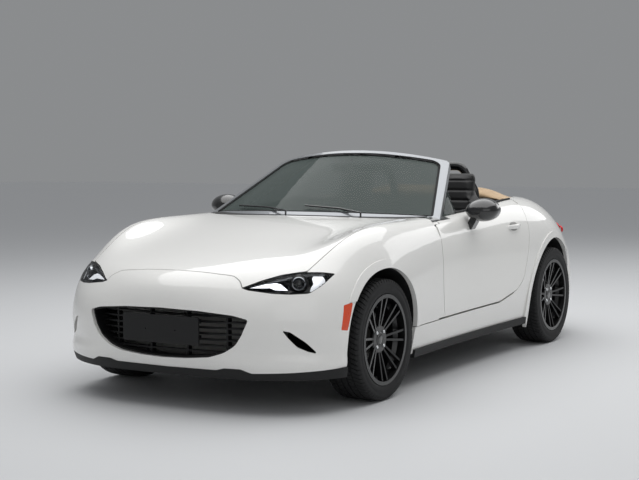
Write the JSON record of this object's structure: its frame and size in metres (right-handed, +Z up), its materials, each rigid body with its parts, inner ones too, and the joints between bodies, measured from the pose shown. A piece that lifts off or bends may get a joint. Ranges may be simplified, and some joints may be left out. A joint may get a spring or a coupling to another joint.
{
  "type": "roadster convertible",
  "caption": "Two-seat roadster with its cloth top folded: opening hood, doors and boot lid, steered front wheels, four free-turning wheels.",
  "frame": {"origin": "on the ground under the middle of the car: bottom centre of its bounding box", "axes": "+X to the car's left, -Y towards its nose, +Z up"},
  "size_m": [1.95, 3.91, 1.2468],
  "materials": {
    "body_paint": "pearl white paint under clear coat",
    "silver_paint": "light silver paint",
    "black_plastic": "moulded black",
    "gloss_black": "gloss black",
    "cabin_plastic": "grained soft black",
    "seat_leather": "black leather",
    "grip_leather": "black grip leather",
    "top_cloth": "beige woven top cloth",
    "glass": "clear, slightly green",
    "lamp_lens": "clear moulded lens",
    "tail_lens": "red lens",
    "amber_lens": "amber lens",
    "tyre": "black rubber",
    "rim_black": "gloss black paint",
    "disc_steel": "machined iron",
    "cast_metal": "cast",
    "exhaust_steel": "stainless",
    "chassis_steel": "black coating"
  },
  "bodies": {
    "chassis": {"floor": "body_paint", "firewall": "body_paint", "engine_bay": "body_paint", "bulkhead": "body_paint", "boot_tray": "body_paint", "fender_left": "body_paint", "fender_right": "body_paint", "body_side_left": "body_paint", "body_side_right": "body_paint", "rear_deck": "body_paint", "front_bumper": "body_paint", "rear_bumper": "body_paint", "lower_trim": "black_plastic", "windscreen_frame": "silver_paint", "windscreen": "glass", "cowl": "black_plastic", "headlamps": "lamp_lens", "tail_lamps": "tail_lens", "side_markers": "amber_lens", "grille": "black_plastic", "arch_liners": "black_plastic", "dashboard": "cabin_plastic", "console": "cabin_plastic", "seat_left": "seat_leather", "seat_right": "seat_leather", "roll_hoops": "gloss_black", "soft_top": "top_cloth", "interior_mirror": "cabin_plastic", "wipers": "black_plastic", "antenna": "black_plastic", "engine": "cast_metal", "driveline": "cast_metal", "exhaust": "exhaust_steel", "front_subframe": "chassis_steel", "front_suspension": "chassis_steel", "rear_suspension": "chassis_steel"},
    "hood": {"hood": "body_paint"},
    "trunk_lid": {"trunk_lid": "body_paint"},
    "door_left": {"door_left": "body_paint", "mirror_left": "gloss_black", "quarter_light_left": "glass"},
    "door_right": {"door_right": "body_paint", "mirror_right": "gloss_black", "quarter_light_right": "glass"},
    "steer_left": {"knuckle_front_left": "cast_metal"},
    "steer_right": {"knuckle_front_right": "cast_metal"},
    "steering_wheel": {"steering_wheel": "grip_leather"},
    "wheel_front_left": {"tyre_front_left": "tyre", "rim_front_left": "rim_black", "brake_disc_front_left": "disc_steel"},
    "wheel_front_right": {"tyre_front_right": "tyre", "rim_front_right": "rim_black", "brake_disc_front_right": "disc_steel"},
    "wheel_rear_left": {"tyre_rear_left": "tyre", "rim_rear_left": "rim_black", "brake_disc_rear_left": "disc_steel"},
    "wheel_rear_right": {"tyre_rear_right": "tyre", "rim_rear_right": "rim_black", "brake_disc_rear_right": "disc_steel"}
  },
  "joints": [
    {"name": "hood_hinge", "type": "hinge", "parent": "chassis", "child": "hood", "pos_m": [0, -0.512, 0.88], "axis": [-1, 0, 0], "range_deg": [0, 50]},
    {"name": "trunk_hinge", "type": "hinge", "parent": "chassis", "child": "trunk_lid", "pos_m": [0, 1.34474, 0.915], "axis": [1, 0, 0], "range_deg": [0, 80]},
    {"name": "door_left_hinge", "type": "hinge", "parent": "chassis", "child": "door_left", "pos_m": [0.815, -0.48, 0.5], "axis": [0, 0, -1], "range_deg": [0, 65]},
    {"name": "door_right_hinge", "type": "hinge", "parent": "chassis", "child": "door_right", "pos_m": [-0.815, -0.48, 0.5], "axis": [0, 0, 1], "range_deg": [0, 65]},
    {"name": "steering", "type": "hinge", "parent": "chassis", "child": "steering_wheel", "pos_m": [0.37, 0.018, 0.752], "axis": [0, 0.9135, 0.4067], "range_deg": [-480, 480]},
    {"name": "steer_left_kingpin", "type": "hinge", "parent": "chassis", "child": "steer_left", "pos_m": [0.6995, -1.212, 0.308], "axis": [0, 0, 1], "range_deg": [-32, 32]},
    {"name": "steer_right_kingpin", "type": "hinge", "parent": "chassis", "child": "steer_right", "pos_m": [-0.6995, -1.212, 0.308], "axis": [0, 0, 1], "range_deg": [-32, 32]},
    {"name": "wheel_front_left_spin", "type": "hinge", "parent": "steer_left", "child": "wheel_front_left", "pos_m": [0.7475, -1.212, 0.308], "axis": [1, 0, 0], "continuous": true},
    {"name": "wheel_front_right_spin", "type": "hinge", "parent": "steer_right", "child": "wheel_front_right", "pos_m": [-0.7475, -1.212, 0.308], "axis": [1, 0, 0], "continuous": true},
    {"name": "wheel_rear_left_spin", "type": "hinge", "parent": "chassis", "child": "wheel_rear_left", "pos_m": [0.7525, 1.098, 0.308], "axis": [1, 0, 0], "continuous": true},
    {"name": "wheel_rear_right_spin", "type": "hinge", "parent": "chassis", "child": "wheel_rear_right", "pos_m": [-0.7525, 1.098, 0.308], "axis": [1, 0, 0], "continuous": true}
  ],
  "couplings": [
    {"joint": "steer_left_kingpin", "follows": "steering", "ratio": 0.066667},
    {"joint": "steer_right_kingpin", "follows": "steering", "ratio": 0.066667}
  ]
}
